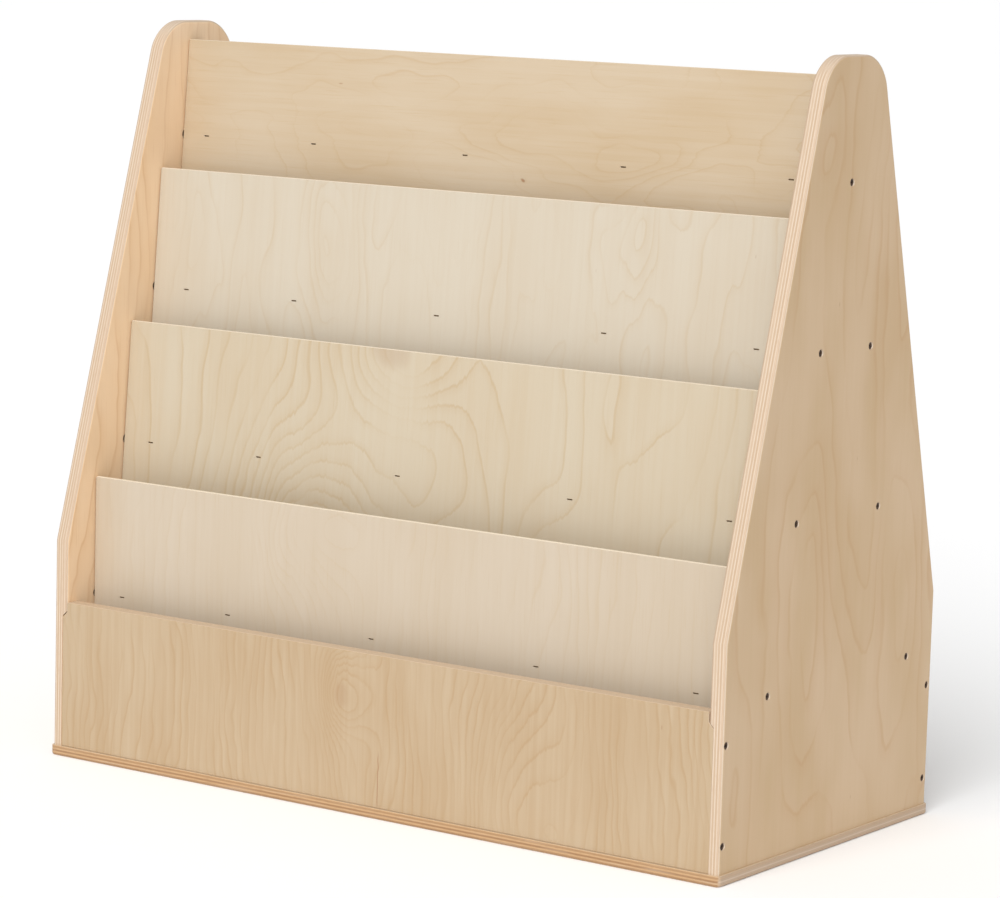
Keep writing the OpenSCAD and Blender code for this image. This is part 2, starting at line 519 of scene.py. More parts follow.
@dataclass(frozen=True)
class Plywood:
    """Clear-lacquered birch plywood: face veneers with their figure, and striped cut edges."""

    name: str
    thickness: float
    plies: int
    pale: str
    warm: str
    line: str
    heart: str = "8a5a30"
    edge_pale: str = "d2c3af"
    edge_mean: str = "c6af97"
    edge_dark: str = "b29477"
    end_pale: str = "cebfad"
    end_dark: str = "bda68d"
    outer_veneer: float = 0.6
    roughness: float = 0.46
    grain: Grain = Grain.UPRIGHT
    figure: Figure = field(default_factory=Figure)

    def other(self, name: str, shift: float) -> "Plywood":
        """Takes the same wood from another sheet: its figure differs."""
        figure = replace(self.figure, seed=self.figure.seed + shift, swirls=self.figure.swirls[:1])
        return replace(self, name=name, figure=figure)

    def mix(self, centre: Vector, face: Vector, along: Vector) -> bpy.types.Material:
        """Mixes the finish for one board.

        Args:
            centre: the middle of the board.
            face: the direction that its face looks.
            along: the direction of its face grain.

        Returns:
            The material.
        """
        r = Recipe(self.name)
        across, along_grain, through = self._place(r, "Object", centre, face, along)
        normal = self._place(r, "Normal", Vector(), face, along)
        n_across, n_along, _ = (r.math("ABSOLUTE", n) for n in normal)

        layer, odd, glue = self._plies(r, across, along_grain, through)
        seed = r.math("MULTIPLY_ADD", layer, 3.7, self.figure.seed)
        at = (across, along_grain, seed)

        line, heart = self._rings(r, at)
        fibre = r.grain(at, FIBRE, 3.0)
        streak = r.grain(at, STREAKS, 3.0)
        patch = r.grain(at, WARM_PATCHES, 2.0)
        face_colour = self._face_colour(r, line, heart, fibre, streak, patch)

        edge_colour = self._edge_colour(r, at, through, odd, n_across, n_along)
        sideways = r.math(
            "ADD", r.math("MULTIPLY", n_across, n_across), r.math("MULTIPLY", n_along, n_along)
        )
        on_edge = r.fade(sideways, 0.06, 0.32)
        colour = r.blend(on_edge, face_colour, edge_colour)
        colour = r.blend(
            r.math("MULTIPLY", r.math("MULTIPLY", glue, on_edge), 0.4), colour, paint(GLUE_FILM)
        )
        marks = r.math("MAXIMUM", self._flecks(r, at), self._checks(r, at))
        colour = r.blend(marks, colour, paint(self.heart))

        bump = r.node("Bump")
        bump.inputs["Strength"].default_value = 0.35
        bump.inputs["Distance"].default_value = 0.12 * MM
        relief = r.math("SUBTRACT", fibre, r.math("MULTIPLY", line, 0.5))
        relief = r.math("SUBTRACT", relief, r.math("MULTIPLY", glue, on_edge))
        r.feed(bump.inputs["Height"], relief)
        rough = r.math("MULTIPLY_ADD", fibre, 0.12, self.roughness - 0.06)
        rough = r.math("MULTIPLY_ADD", on_edge, 0.08, rough)
        return r.finish(
            {
                "Base Color": colour,
                "Roughness": rough,
                "Normal": bump.outputs[0],
                "Specular IOR Level": 0.4,
                "Coat Weight": 0.12,
                "Coat Roughness": 0.32,
            }
        )

    def _place(
        self, r: Recipe, kind: str, centre: Vector, face: Vector, along: Vector
    ) -> tuple[bpy.types.NodeSocket, ...]:
        """Turns object coordinates or normals to lie across, along and through the board."""
        axes = Matrix((along.cross(face), along, face)).transposed()
        mapping = r.node("Mapping", vector_type="TEXTURE")
        mapping.inputs["Location"].default_value = centre
        mapping.inputs["Rotation"].default_value = axes.to_euler()
        r.feed(mapping.inputs["Vector"], r.node("TexCoord").outputs[kind])
        split = r.node("SeparateXYZ")
        r.feed(split.inputs[0], mapping.outputs[0])
        return tuple(split.outputs)

    def _plies(self, r: Recipe, across: Value, along: Value, through: Value) -> tuple[Value, ...]:
        """Says which ply a point is in, whether its grain is crossed, and how near glue is."""
        ply = self.thickness / (self.plies - 2 + 2 * self.outer_veneer)
        wander = r.grain((across, along, self.figure.seed), GLUE_WANDER, 2.0)
        level = r.math("MULTIPLY_ADD", through, 1 / ply, self.plies / 2 - 0.2)
        level = r.math("MULTIPLY_ADD", wander, 0.4, level)
        layer = r.math("FLOOR", level)
        odd = r.math("FLOORED_MODULO", layer, 2.0)
        part = r.math("FRACT", level)
        near = r.math("MINIMUM", part, r.math("SUBTRACT", 1.0, part))
        return layer, odd, r.fade(near, 0.0, 0.12, (1.0, 0.0))

    def _rings(self, r: Recipe, at: tuple[Value, Value, Value]) -> tuple[Value, Value]:
        """Draws the growth rings as contours of a rolling height, and the knots' hearts.

        Each line is darkest where the height reaches a whole number, and fades to both sides
        over a width that is the same whether the height is steep or nearly level.

        Args:
            r: the recipe that it is mixed in.
            at: the place across and along the grain, and which pattern it is.

        Returns:
            How dark the ring line is, and how dark a knot's heart is.
        """
        figure = self.figure
        strayed = self._stray(r, at)
        level, heart = self._height(r, strayed)
        beside, _ = self._height(r, (r.math("ADD", strayed[0], RING_STEP), *strayed[1:]))
        above, _ = self._height(r, (strayed[0], r.math("ADD", strayed[1], RING_STEP), strayed[2]))
        slopes = [r.math("SUBTRACT", value, level) for value in (beside, above)]
        squares = [r.math("MULTIPLY", slope, slope) for slope in slopes]
        slope = r.math("MULTIPLY", r.math("SQRT", r.math("ADD", *squares)), 1 / RING_STEP)
        slope = r.math("MAXIMUM", slope, LEAST_SLOPE)
        past = r.math("FRACT", level)
        before = r.math("DIVIDE", r.math("SUBTRACT", 1.0, past), slope)
        behind = r.math("DIVIDE", past, slope)
        line = r.fade(before, 0.0, figure.line_width, (1.0, 0.0))
        line = r.math("MAXIMUM", line, r.fade(behind, 0.0, figure.line_width * 0.6, (1.0, 0.0)))
        glow = r.fade(before, 0.0, figure.line_width * 3, (0.4, 0.0))
        strength = r.fade(r.grain(at, WORN_RINGS, 2.0), 0.34, 0.62, (0.15, 1.0))
        return r.math("MULTIPLY", r.math("MAXIMUM", line, glow), strength), heart

    def _stray(self, r: Recipe, at: tuple[Value, Value, Value]) -> tuple[Value, Value, Value]:
        """Moves each place a little, so that no loop is a perfect oval and fibres feather it."""
        moved = []
        for i in range(2):
            other = r.math("ADD", at[2], 17.0 * (i + 1))
            sway = r.math("SUBTRACT", r.grain((at[0], at[1], other), SWAY, 3.0), 0.5)
            moved.append(r.math("MULTIPLY_ADD", sway, self.figure.sway, at[i]))
        feather = r.math("SUBTRACT", r.grain(at, FEATHER, 2.0), 0.5)
        return moved[0], r.math("MULTIPLY_ADD", feather, self.figure.feather, moved[1]), at[2]

    def _height(self, r: Recipe, at: tuple[Value, Value, Value]) -> tuple[Value, Value]:
        """Gives the rolling height that the rings are contours of, and the knots' hearts."""
        figure = self.figure
        hills = r.grain(at, (figure.loops_across, figure.loops_along), 1.6)
        level = r.math("MULTIPLY", hills, figure.rings)
        level = r.math("MULTIPLY_ADD", at[0], figure.rings_per_metre, level)
        heart: Value = 0.0
        for swirl in figure.swirls:
            hill = self._hill(r, at, swirl)
            level = r.math("MULTIPLY_ADD", hill, swirl.rings, level)
            dark = r.math("MULTIPLY", r.fade(hill, 0.88, 0.99), swirl.heart)
            heart = r.math("MAXIMUM", heart, dark)
        return level, heart

    def _hill(self, r: Recipe, at: tuple[Value, Value, Value], swirl: Swirl) -> Value:
        """Makes a smooth hill over one swirl, 1 at its middle."""
        off = [
            r.math("MULTIPLY", r.math("SUBTRACT", value, centre), 1 / reach)
            for value, centre, reach in (
                (at[0], swirl.across, swirl.reach_across),
                (at[1], swirl.along, swirl.reach_along),
            )
        ]
        squares = [r.math("MULTIPLY", value, value) for value in off]
        return r.math("EXPONENT", r.math("MULTIPLY", r.math("ADD", *squares), -1.0))

    def _face_colour(
        self, r: Recipe, line: Value, heart: Value, fibre: Value, streak: Value, patch: Value
    ) -> Value:
        """Colours a face veneer from its figure."""
        figure = self.figure
        warmth = r.math("MULTIPLY", r.fade(patch, 0.3, 0.7), figure.patches)
        streaked = r.fade(streak, 0.3, 0.7)
        warmth = r.math("MULTIPLY_ADD", streaked, figure.streaks, warmth, clamp=True)
        colour = r.blend(warmth, paint(self.pale), paint(self.warm))
        colour = r.blend(r.math("MULTIPLY", line, figure.line_strength), colour, paint(self.line))
        hair = r.math("MULTIPLY", r.fade(fibre, 0.55, 0.85), figure.fibre)
        colour = r.blend(hair, colour, paint(self.line))
        return r.blend(heart, colour, paint(self.heart))

    def _edge_colour(
        self,
        r: Recipe,
        at: tuple[Value, Value, Value],
        through: Value,
        odd: Value,
        n_across: Value,
        n_along: Value,
    ) -> Value:
        """Colours a cut edge: long grain and end grain by turns."""
        beside = r.blend(odd, paint(self.edge_pale), paint(self.edge_dark))
        ends = r.blend(odd, paint(self.end_dark), paint(self.end_pale))
        turned = r.fade(r.math("SUBTRACT", n_along, n_across), -0.3, 0.3)
        colour = r.blend(turned, beside, ends)
        chance = r.node("TexWhiteNoise", noise_dimensions="1D")
        r.feed(chance.inputs["W"], at[2])
        softness = r.math("MULTIPLY_ADD", chance.outputs[0], 0.5, 0.25)
        colour = r.blend(softness, colour, paint(self.edge_mean))
        cell = r.grain((through, at[1], at[2]), END_CELLS, 3.0)
        shade = r.grain((through, at[1], at[2]), END_SHADES, 2.0)
        mark = r.math("MULTIPLY", r.fade(cell, 0.45, 0.75), 0.3)
        colour = r.blend(mark, colour, paint(self.edge_dark))
        return r.blend(r.fade(shade, 0.5, 0.8, (0.0, 0.4)), colour, paint(self.end_dark))

    def _checks(self, r: Recipe, at: tuple[Value, Value, Value]) -> Value:
        """Draws the hairline cracks."""
        drawn: Value = 0.0
        for check in self.figure.checks:
            wander = r.math("MULTIPLY_ADD", r.grain(at, CHECK_WANDER, 2.0), CHECK_STRAY, at[0])
            middle = check.across + CHECK_STRAY / 2
            off = r.math("ABSOLUTE", r.math("SUBTRACT", wander, middle))
            begun = r.fade(at[1], check.low, check.low + CHECK_BEGIN)
            ended = r.fade(at[1], check.high - CHECK_END, check.high, (1.0, 0.0))
            inside = r.math("MULTIPLY", begun, ended)
            crack = r.math("MULTIPLY", r.fade(off, 0.0, check.width, (0.75, 0.0)), inside)
            drawn = r.math("MAXIMUM", drawn, crack)
        return drawn

    def _flecks(self, r: Recipe, at: tuple[Value, Value, Value]) -> Value:
        """Scatters the short brown flecks that birch has."""
        made = r.node("TexVoronoi")
        across = r.math("MULTIPLY", at[0], FLECKS[0])
        along = r.math("MULTIPLY", at[1], FLECKS[1])
        r.feed(made.inputs["Vector"], r.point(across, along, at[2]))
        made.inputs["Scale"].default_value = 1.0
        split = r.node("SeparateColor")
        r.feed(split.inputs[0], made.outputs["Color"])
        chosen = r.fade(split.outputs[0], 0.9, 0.92)
        spot = r.fade(made.outputs["Distance"], 0.02, 0.07, (0.45, 0.0))
        return r.math("MULTIPLY", chosen, spot)


@dataclass(frozen=True)
class Metal:
    """Coated fastener metal, mottled at random between a dark and a brighter tone."""

    name: str
    dark: str
    bright: str
    metallic: float
    roughness: float

    def mix(self) -> bpy.types.Material:
        """Mixes the finish."""
        r = Recipe(self.name)
        place = r.node("TexCoord").outputs["Object"]
        noise = r.node("TexNoise")
        r.feed(noise.inputs["Vector"], place)
        noise.inputs["Scale"].default_value = 900.0
        noise.inputs["Detail"].default_value = 3.0
        mottle = r.fade(noise.outputs[0], 0.4, 0.75)
        colour = r.blend(r.math("MULTIPLY", mottle, 0.5), paint(self.dark), paint(self.bright))
        bump = r.node("Bump")
        bump.inputs["Strength"].default_value = 0.3
        bump.inputs["Distance"].default_value = 0.03 * MM
        r.feed(bump.inputs["Height"], noise.outputs[0])
        rough = r.math("MULTIPLY_ADD", mottle, 0.15, self.roughness)
        return r.finish(
            {
                "Base Color": colour,
                "Metallic": self.metallic,
                "Roughness": rough,
                "Normal": bump.outputs[0],
            }
        )


RIGHT_SIDE_BIRCH = Plywood(
    "right_side_birch", 18 * MM, 11, "c8ad8c", "bb9d73", "b89166",
    figure=Figure(
        seed=3.0, rings=9.0, loops_across=6.0, loops_along=1.5, line_strength=0.5,
        line_width=6 * MM, patches=0.6, streaks=0.1, fibre=0.15, swirls=(
            Swirl(-0.053, -0.119, 0.028, 0.10, 1.6), Swirl(-0.05, -0.26, 0.05, 0.12, 2.2),
            Swirl(0.14, -0.2, 0.05, 0.16, 2.5), Swirl(-0.049, 0.322, 0.03, 0.05, 1.5),
        ),
    ),
)
# The left side is the right side's wood made paler and warmer all over: painted bounce light,
# standing in for the warm light that the panels throw onto its inner face. Its ring figure differs
# as real wood does.
LEFT_SIDE_BIRCH_WITH_PAINTED_BOUNCE = replace(
    RIGHT_SIDE_BIRCH, name="left_side_birch_painted_bounce", pale="efd2b0", warm="e8c59c", line="cfa16e",
    figure=replace(
        RIGHT_SIDE_BIRCH.figure, seed=7.0, rings_per_metre=45.0, line_strength=0.45,
        line_width=4 * MM, fibre=0.4, swirls=(),
    ),
)
# The lip's end colours stripe its top face by ply, and the darker of them is also painted shade:
# it darkens the upward top as if less light reached it.
LIP_BIRCH_WITH_PAINTED_TOP_SHADE = Plywood(
    "lip_birch", 18 * MM, 11, "b5a084", "ab9170", "a5865e",
    end_pale="b09070", end_dark="d6c3a6",
    figure=Figure(
        seed=11.0, rings=9.0, rings_per_metre=85.0, loops_across=5.0, loops_along=2.6,
        line_strength=0.5, line_width=3 * MM, fibre=0.35, patches=0.45, streaks=0.4, swirls=(
            Swirl(-0.034, 0.034, 0.034, 0.042, 7.0, heart=0.15),
            Swirl(-0.395, -0.11, 0.06, 0.1, 3.0), Swirl(0.2, -0.05, 0.06, 0.1, 4.0),
        ),
        checks=(Check(0.0165, -0.085, -0.02),),
    ),
)
# The panels' cut edges and ends are near white. This is partly the pale sanded end grain and
# partly a painted highlight, a bright line along the rounded arrises.
PANEL_BIRCH_WITH_PAINTED_EDGE_HIGHLIGHT = Plywood(
    "panel_birch", 6 * MM, 5, "c1b5a1", "baaa8d", "b29975",
    edge_pale="e6dbc6", edge_mean="ded0b6", edge_dark="d3c0a0",
    end_pale="efe4d2", end_dark="f6eee2",
    figure=Figure(seed=23.0, line_strength=0.22, patches=0.3, streaks=0.2, fibre=0.2),
)
UPPER_PANEL_BIRCH = replace(
    PANEL_BIRCH_WITH_PAINTED_EDGE_HIGHLIGHT, name="upper_panel_birch", pale="c0b5a3", warm="baaa93",
    figure=replace(
        PANEL_BIRCH_WITH_PAINTED_EDGE_HIGHLIGHT.figure, rings=12.0, loops_across=11.0, loops_along=2.6, line_strength=0.3,
        line_width=3.5 * MM,
        swirls=(Swirl(-0.196, 0.09, 0.05, 0.08, 3.0), Swirl(0.213, 0.12, 0.06, 0.07, 3.5)),
    ),
)
MIDDLE_PANEL_BIRCH = replace(
    PANEL_BIRCH_WITH_PAINTED_EDGE_HIGHLIGHT, name="middle_panel_birch", pale="bdb09a", warm="b6a285", line="ad936d",
    figure=replace(
        PANEL_BIRCH_WITH_PAINTED_EDGE_HIGHLIGHT.figure, seed=31.0, rings=8.0, rings_per_metre=25.0, loops_along=2.6,
        line_strength=0.5, line_width=4 * MM, sway=0.035, swirls=(
            Swirl(-0.059, 0.155, 0.10, 0.075, 9.0, heart=0.2),
            Swirl(-0.156, -0.12, 0.10, 0.16, 13.0), Swirl(0.02, -0.14, 0.06, 0.08, 5.0),
            Swirl(0.17, -0.13, 0.05, 0.12, 5.0),
        ),
    ),
)
LOWER_PANEL_BIRCH = replace(
    PANEL_BIRCH_WITH_PAINTED_EDGE_HIGHLIGHT, name="lower_panel_birch", pale="beb09d", warm="b6a48b",
    figure=replace(
        PANEL_BIRCH_WITH_PAINTED_EDGE_HIGHLIGHT.figure, seed=43.0, rings=8.0, rings_per_metre=60.0, line_strength=0.2,
        line_width=3 * MM, fibre=0.35, swirls=(Swirl(-0.118, 0.13, 0.07, 0.06, 5.0),),
    ),
)
TOP_PANEL_BIRCH = replace(
    PANEL_BIRCH_WITH_PAINTED_EDGE_HIGHLIGHT, name="top_panel_birch", pale="beac93", warm="b59d7c", line="af926b",
    grain=Grain.ALONG_STAND,
    figure=Figure(
        seed=37.0, rings=8.0, loops_across=12.0, loops_along=5.0, line_strength=0.34,
        line_width=2.6 * MM, patches=0.5, streaks=0.25, fibre=0.4, swirls=(
            Swirl(-0.057, -0.159, 0.03, 0.09, 2.5), Swirl(-0.077, 0.071, 0.05, 0.07, 2.5),
            Swirl(-0.04, 0.189, 0.03, 0.07, 2.5),
            Swirl(-0.009, 0.054, 0.009, 0.009, 1.0, heart=0.7),
        ),
    ),
)
SHELF_BIRCH = Plywood(
    "shelf_birch", 12 * MM, 9, "cdb48e", "c0a075", "ad8455", figure=Figure(seed=51.0),
)
BASE_BIRCH = Plywood(
    "base_birch", 12 * MM, 7, "cbb498", "c0a687", "ab8c6a",
    edge_pale="bf9c74", edge_mean="b08c65", edge_dark="8f6946",
    end_pale="cbbaa8", end_dark="bca994",
    figure=Figure(seed=63.0),
)
SCREW_BRONZE = Metal("screw_bronze", "2c190b", "7a5430", 0.2, 0.5)
STAPLE_STEEL = Metal("staple_steel", "4e3a22", "9a7c54", 0.3, 0.5)


# ---------------------------------------------------------------- fasteners


@dataclass
class SunkScrews:
    """Countersunk cross-head wood screws, one set to a node."""

    node: str
    into: Vector
    head_diameter: float = 7.6 * MM
    head_height: float = 3.0 * MM
    rim: float = 0.35 * MM
    shank_diameter: float = 4.0 * MM
    length: float = 42.0 * MM
    point_length: float = 6.0 * MM
    point_diameter: float = 0.8 * MM
    sink: float = 1.0 * MM
    mouth_diameter: float = 8.0 * MM
    flare: float = 1.22
    clearance: float = 0.05 * MM
    drive_span: float = 4.4 * MM
    drive_width: float = 1.1 * MM
    drive_depth: float = 1.8 * MM
    drive_taper: float = 0.55
    arris: float = 0.12 * MM

    def heads(self) -> list[Vector]:
        """Finds the middle of each head's flat top."""
        found = []
        for low, high in loose_parts(self.node):
            middle = (low + high) / 2
            reach = (high - low).dot(Vector(map(abs, self.into))) / 2
            found.append(middle - self.into * reach)
        return found

    def places(self) -> list[Matrix]:
        """Gives each screw's place, its point turned into the wood."""
        turn = (-Z_AXIS).rotation_difference(self.into).to_matrix().to_4x4()
        return [
            Matrix.Translation(head) @ turn @ Matrix.Rotation(0.7 * i, 4, "Z")
            for i, head in enumerate(self.heads())
        ]

    def drill(self) -> Workpiece:
        """Makes the bit that cuts every hole of this set at once."""
        hole = self.shank_diameter / 2 + self.clearance
        bit = Workpiece.rod(self.node + "_bit", self.mouth_diameter / 2, 2 * self.sink)
        lift = Z_AXIS * 2 * self.sink
        bit.pick_faces(lambda c, n: n.z > 0.9).move_picked(lift)
        bit.pick_faces(lambda c, n: n.z > 0.9).widen_picked(self.flare, Vector())
        bit.pick_faces(lambda c, n: n.z < -0.9).move_picked(lift)
        bit.pick_faces(lambda c, n: n.z < -0.9).push_picked(Z_AXIS * -self.head_height)
        bit.pick_faces(lambda c, n: n.z < -0.9)
        bit.widen_picked(hole / (self.mouth_diameter / 2), Vector())
        bit.pick_faces(lambda c, n: n.z < -0.9).push_picked(Z_AXIS * -self.length)
        return bit.copies(self.places())

    def build(self) -> Workpiece:
        """Turns one screw, cuts its cross recess, and sets a copy at every place."""
        screw = Workpiece.rod(self.node, self.head_diameter / 2, self.rim)
        down = lambda c, n: n.z < -0.9
        steps = (
            (self.head_height - self.rim, self.shank_diameter / self.head_diameter),
            (self.length - self.head_height - self.point_length, 1.0),
            (self.point_length, self.point_diameter / self.shank_diameter),
        )
        for drop, narrowing in steps:
            screw.pick_faces(down).push_picked(Z_AXIS * -drop)
            screw.pick_faces(down).widen_picked(narrowing, Vector())
        for angle in (0.0, math.pi / 2):
            half = Vector((self.drive_span / 2, self.drive_width / 2, self.drive_depth))
            blade = Workpiece.block("blade", -half, Vector((half.x, half.y, MM)))
            blade.obj.data.transform(Matrix.Rotation(angle, 4, "Z"))
            blade.pick_faces(lambda c, n: n.z < -0.9).widen_picked(self.drive_taper, Vector())
            screw.cut(blade)
        screw.ease(self.arris)
        return screw.copies(self.places()).sand(40)


@dataclass
class Staples:
    """Wire staples that hold one face's panels to the rail and the shelves."""

    node: str
    rear: bool
    crown: float = 6.8 * MM
    wire: float = 1.2 * MM
    leg: float = 20.0 * MM
    sink: float = 0.4 * MM
    dent_margin: float = 0.2 * MM
    dent_round: float = 0.5 * MM
    arris: float = 0.25 * MM

    def places(self) -> list[Matrix]:
        """Gives each staple's place: X along its crown, and Y into the wood."""
        turn = Matrix.Rotation(math.pi if self.rear else 0.0, 4, "Z")
        found = []
        for low, high in loose_parts(self.node):
            lean = math.asin(max(0.0, high.z - low.z - self.wire) / self.leg)
            frame_turn = turn @ Matrix.Rotation(-lean, 4, "X")
            middle = frame_turn @ Vector((0, self.sink + self.leg / 2, 0))
            found.append(Matrix.Translation((low + high) / 2 - middle) @ frame_turn)
        return found

    def dents(self) -> Workpiece:
        """Makes the tool that presses a dent for every crown of this set."""
        half_x = self.crown / 2 + self.dent_margin
        half_z = self.wire / 2 + self.dent_margin
        low = Vector((-half_x, -MM, -half_z))
        high = Vector((half_x, self.sink + self.wire, half_z))
        tool = Workpiece.block(self.node + "_dents", low, high)
        tool.pick_edges(lambda a, b: abs(a.y - b.y) > MM).round_picked(self.dent_round, 3)
        return tool.copies(self.places())

    def build(self) -> Workpiece:
        """Bends one staple and drives a copy in at every place."""
        half, thin = self.crown / 2, self.wire / 2
        back = self.sink + self.wire
        staple = Workpiece.block(
            self.node, Vector((-half, self.sink, -thin)), Vector((half, back, thin))
        )
        for side in (-1, 1):
            staple.saw(Vector((side * (half - self.wire), 0, 0)), X_AXIS, keep_both=True)
        staple.pick_faces(lambda c, n: n.y > 0.9 and abs(c.x) > half - self.wire)
        staple.push_picked(Y_AXIS * (self.leg - self.wire))
        staple.ease(self.arris)
        return staple.copies(self.places()).sand(50)


# ---------------------------------------------------------------- boards


def along(a: Vector, b: Vector, axis: int) -> bool:
    """Says whether an edge runs along one axis."""
    return all(abs(a[i] - b[i]) < HAIR for i in range(3) if i != axis)


@dataclass
class SidePanel:
    """A solid side: upright to the knee, leaning in above it, round at the crown."""

    node: str
    outward: int
    shelves: tuple[str, ...]
    lips: tuple[str, ...]
    knee_height: float = 254 * MM
    crown_half: float = 56 * MM
    crown_radius: float = 46 * MM
    round_over: float = 3.5 * MM
    joint_depth: float = 6 * MM
    shoulder_drop: float = 11 * MM
    shoulder_gap: float = 1 * MM
    past: float = 1 * MM

    def build(self, bits: Iterable[Workpiece]) -> Workpiece:
        """Saws the outline, rounds its edges over, and cuts the grooves, rebates and holes.

        Args:
            bits: the tools that cut the screw holes.

        Returns:
            The finished side.
        """
        low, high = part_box(self.node)
        side = Workpiece.block(self.node, low, high)
        self._saw_outline(side, high)
        self._round_crown(side, high)
        side.pick_edges(
            lambda a, b: abs(a.x - b.x) < HAIR and max(a.z, b.z) > low.z + HAIR
        ).round_picked(self.round_over, 6)
        inner = low.x if self.outward > 0 else high.x
        side.cut(*(self._groove(inner, shelf) for shelf in self.shelves))
        side.cut(*(self._rebate(inner, lip) for lip in self.lips), *bits)
        return side.sand()

    def _saw_outline(self, side: Workpiece, high: Vector) -> None:
        """Saws the two leaning edges."""
        for way in (-1, 1):
            knee = Vector((0, way * high.y, self.knee_height))
            rise, run = high.z - self.knee_height, high.y - self.crown_half
            side.saw(knee, Vector((0, way * rise, run)).normalized())

    def _round_crown(self, side: Workpiece, high: Vector) -> None:
        """Rounds the two corners of the crown."""
        lean = math.atan2(high.y - self.crown_half, high.z - self.knee_height)
        tangent = self.crown_radius * math.tan((math.pi / 2 - lean) / 2)
        corner = lambda a, b: along(a, b, 0) and a.z > high.z - HAIR
        side.pick_edges(corner).round_picked(tangent, 20)

    def _groove(self, inner: float, shelf: str) -> Workpiece:
        """Makes the cutter of the round-ended groove for one shelf."""
        low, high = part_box(shelf)
        end = (high.z - low.z) / 2
        reach = high.y + end
        deep = inner + self.outward * self.joint_depth
        cutter = Workpiece.block(
            "groove",
            Vector((inner - self.outward * self.past, -reach, low.z)),
            Vector((deep, reach, high.z)),
        )
        cutter.pick_edges(lambda a, b: along(a, b, 0)).round_picked(end - HAIR, 10)
        return cutter

    def _rebate(self, inner: float, lip: str) -> Workpiece:
        """Makes the cutter of the rebate for one end of a lip board."""
        low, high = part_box(lip)
        top = high.z - self.shoulder_drop + self.shoulder_gap
        front, back = (low.y - self.past, high.y) if low.y < 0 else (low.y, high.y + self.past)
        deep = inner + self.outward * self.joint_depth
        cutter = Workpiece.block(
            "rebate",
            Vector((inner - self.outward * self.past, front, low.z - self.past)),
            Vector((deep, back, top)),
        )
        slope = Vector((self.outward, 0, 1)).normalized()
        return cutter.saw(Vector((deep, 0, top - self.joint_depth)), slope)


@dataclass
class LipBoard:
    """The thick board that closes the lowest pocket, its ends let into the sides."""

    node: str
    shoulder_drop: float = 11 * MM
    shoulder_slope: float = 6 * MM
    ear_gap: float = 0.4 * MM
    arris: float = 1.2 * MM

    def build(self, bits: Iterable[Workpiece]) -> Workpiece:
        """Saws the board with its ears and shoulders.

        Args:
            bits: the tools that cut the screw holes.

        Returns:
            The finished board.
        """
        low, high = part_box(self.node)
        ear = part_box("right_side")[0].x - self.ear_gap
        shoulder = high.z - self.shoulder_drop
        board = Workpiece.block(
            self.node, Vector((-ear, low.y, low.z)), Vector((ear, high.y, high.z))
        )
        board.saw(Vector((0, 0, shoulder)), Z_AXIS, keep_both=True)
        for way in (-1, 1):
            board.pick_faces(lambda c, n: n.x * way > 0.9 and c.z < shoulder)
            board.push_picked(X_AXIS * way * (high.x - ear))
            board.pick_edges(
                lambda a, b: along(a, b, 1) and a.x * way > high.x - HAIR and a.z > shoulder - HAIR
            ).move_picked(Z_AXIS * -self.shoulder_slope)
        return board.ease(self.arris).cut(*bits).sand()


@dataclass
class DisplayPanel:
    """A thin panel that stands on the shelf below and leans back against the rail or shelf."""

    node: str
    lean: float
    thickness: float = 6 * MM
    arris: float = 1.6 * MM

    def build(self, dents: Iterable[Workpiece]) -> Workpiece:
        """Saws the panel to the lean and presses the staples' dents.

        Args:
            dents: the tools that press the dents.

        Returns:
            The finished panel.
        """
        low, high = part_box(self.node)
        tilt = abs(self.lean)
        length = (high.z - low.z - self.thickness * math.sin(tilt)) / math.cos(tilt)
        half = Vector(((high.x - low.x) / 2, self.thickness / 2, length / 2))
        middle = (low + high) / 2
        panel = Workpiece.block(self.node, middle - half, middle + half, self.lean)
        return panel.ease(self.arris).cut(*dents).sand()

    def directions(self) -> tuple[Vector, Vector]:
        """Gives the way its face looks, and the way up along it."""
        turn = Matrix.Rotation(self.lean, 3, "X")
        return turn @ (Y_AXIS if "rear" in self.node else -Y_AXIS), turn @ Z_AXIS


@dataclass
class BaseBoard:
    """The board under everything, a little larger than all that stands on it."""

    node: str = "base_board"
    corner: float = 6 * MM
    bottom_round: float = 3 * MM
    top_round: float = 0.8 * MM

    def build(self, bits: Iterable[Workpiece]) -> Workpiece:
        """Saws the board and rounds its corners, bottom and top edges.

        Args:
            bits: the tools that cut the screw holes.

        Returns:
            The finished board.
        """
        low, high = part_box(self.node)
        board = Workpiece.block(self.node, low, high)
        board.pick_edges(lambda a, b: along(a, b, 2)).round_picked(self.corner, 8)
        for height, width, steps in ((low.z, self.bottom_round, 5), (high.z, self.top_round, 2)):
            board.pick_edges(
                lambda a, b: abs(a.z - height) < HAIR and abs(b.z - height) < HAIR
            ).round_picked(width, steps)
        return board.cut(*bits).sand()


# ---------------------------------------------------------------- the studio


@dataclass(frozen=True)
class Lamp:
    """A broad, even light that shines from an azimuth and a height, in degrees."""

    name: str
    strength: float
    spread: float
    azimuth: float
    height: float

    def hang(self) -> None:
        """Hangs the lamp."""
        turn = (math.radians(90 - self.height), 0, math.radians(self.azimuth))
        bpy.ops.object.light_add(type="SUN", rotation=turn)
        hung = bpy.context.active_object
        hung.name = self.name
        hung.data.energy = self.strength
        hung.data.angle = math.radians(self.spread)


